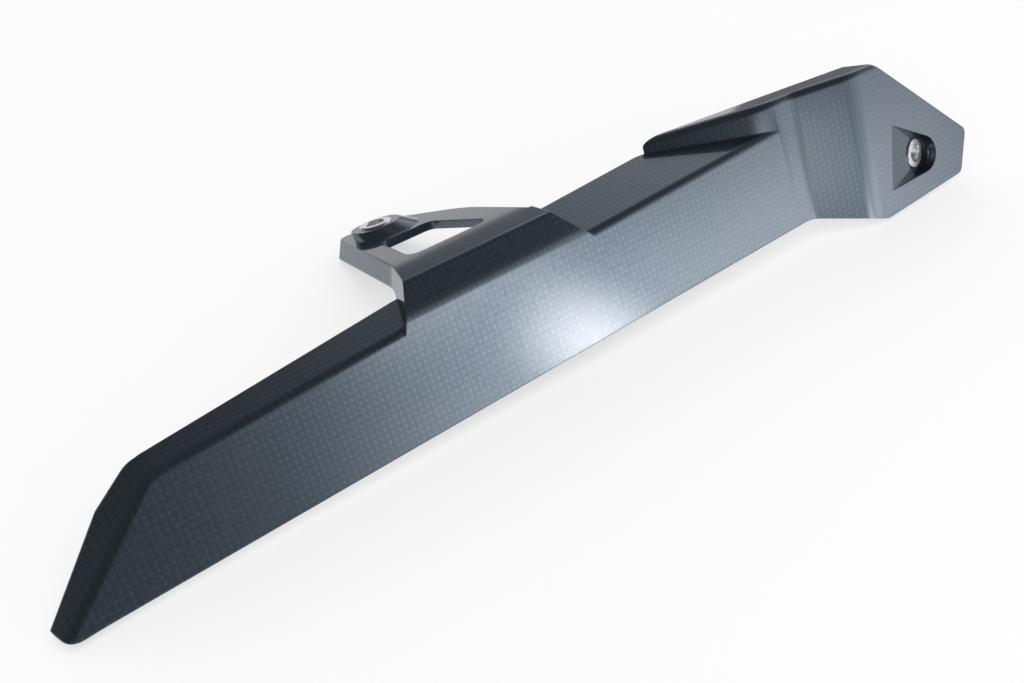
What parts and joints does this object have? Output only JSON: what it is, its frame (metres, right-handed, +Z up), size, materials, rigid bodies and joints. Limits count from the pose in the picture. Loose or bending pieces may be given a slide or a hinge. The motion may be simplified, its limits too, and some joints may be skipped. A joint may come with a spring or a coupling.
{
  "type": "motorcycle chain guard",
  "caption": "Moulded carbon laminate chain guard with a folded top flange, a windowed fixing tab with a raised boss, and a stepped end flap, each fixing lined with a flanged bush.",
  "frame": {"origin": "centre of the footprint, on the surface the guard lies on", "axes": "+X along the guard from the rounded tip to the end flap, +Y from the outer panel towards the fixing tab, +Z up"},
  "size_m": [0.4907, 0.1379, 0.065],
  "materials": {
    "carbon_laminate": "plain weave at 45 degrees under a glossy clear coat",
    "bush_aluminium": "turned and clear anodised"
  },
  "bodies": {
    "root": {"guard_shell": "carbon_laminate", "tab_bush": "bush_aluminium", "end_bush": "bush_aluminium"}
  },
  "joints": []
}
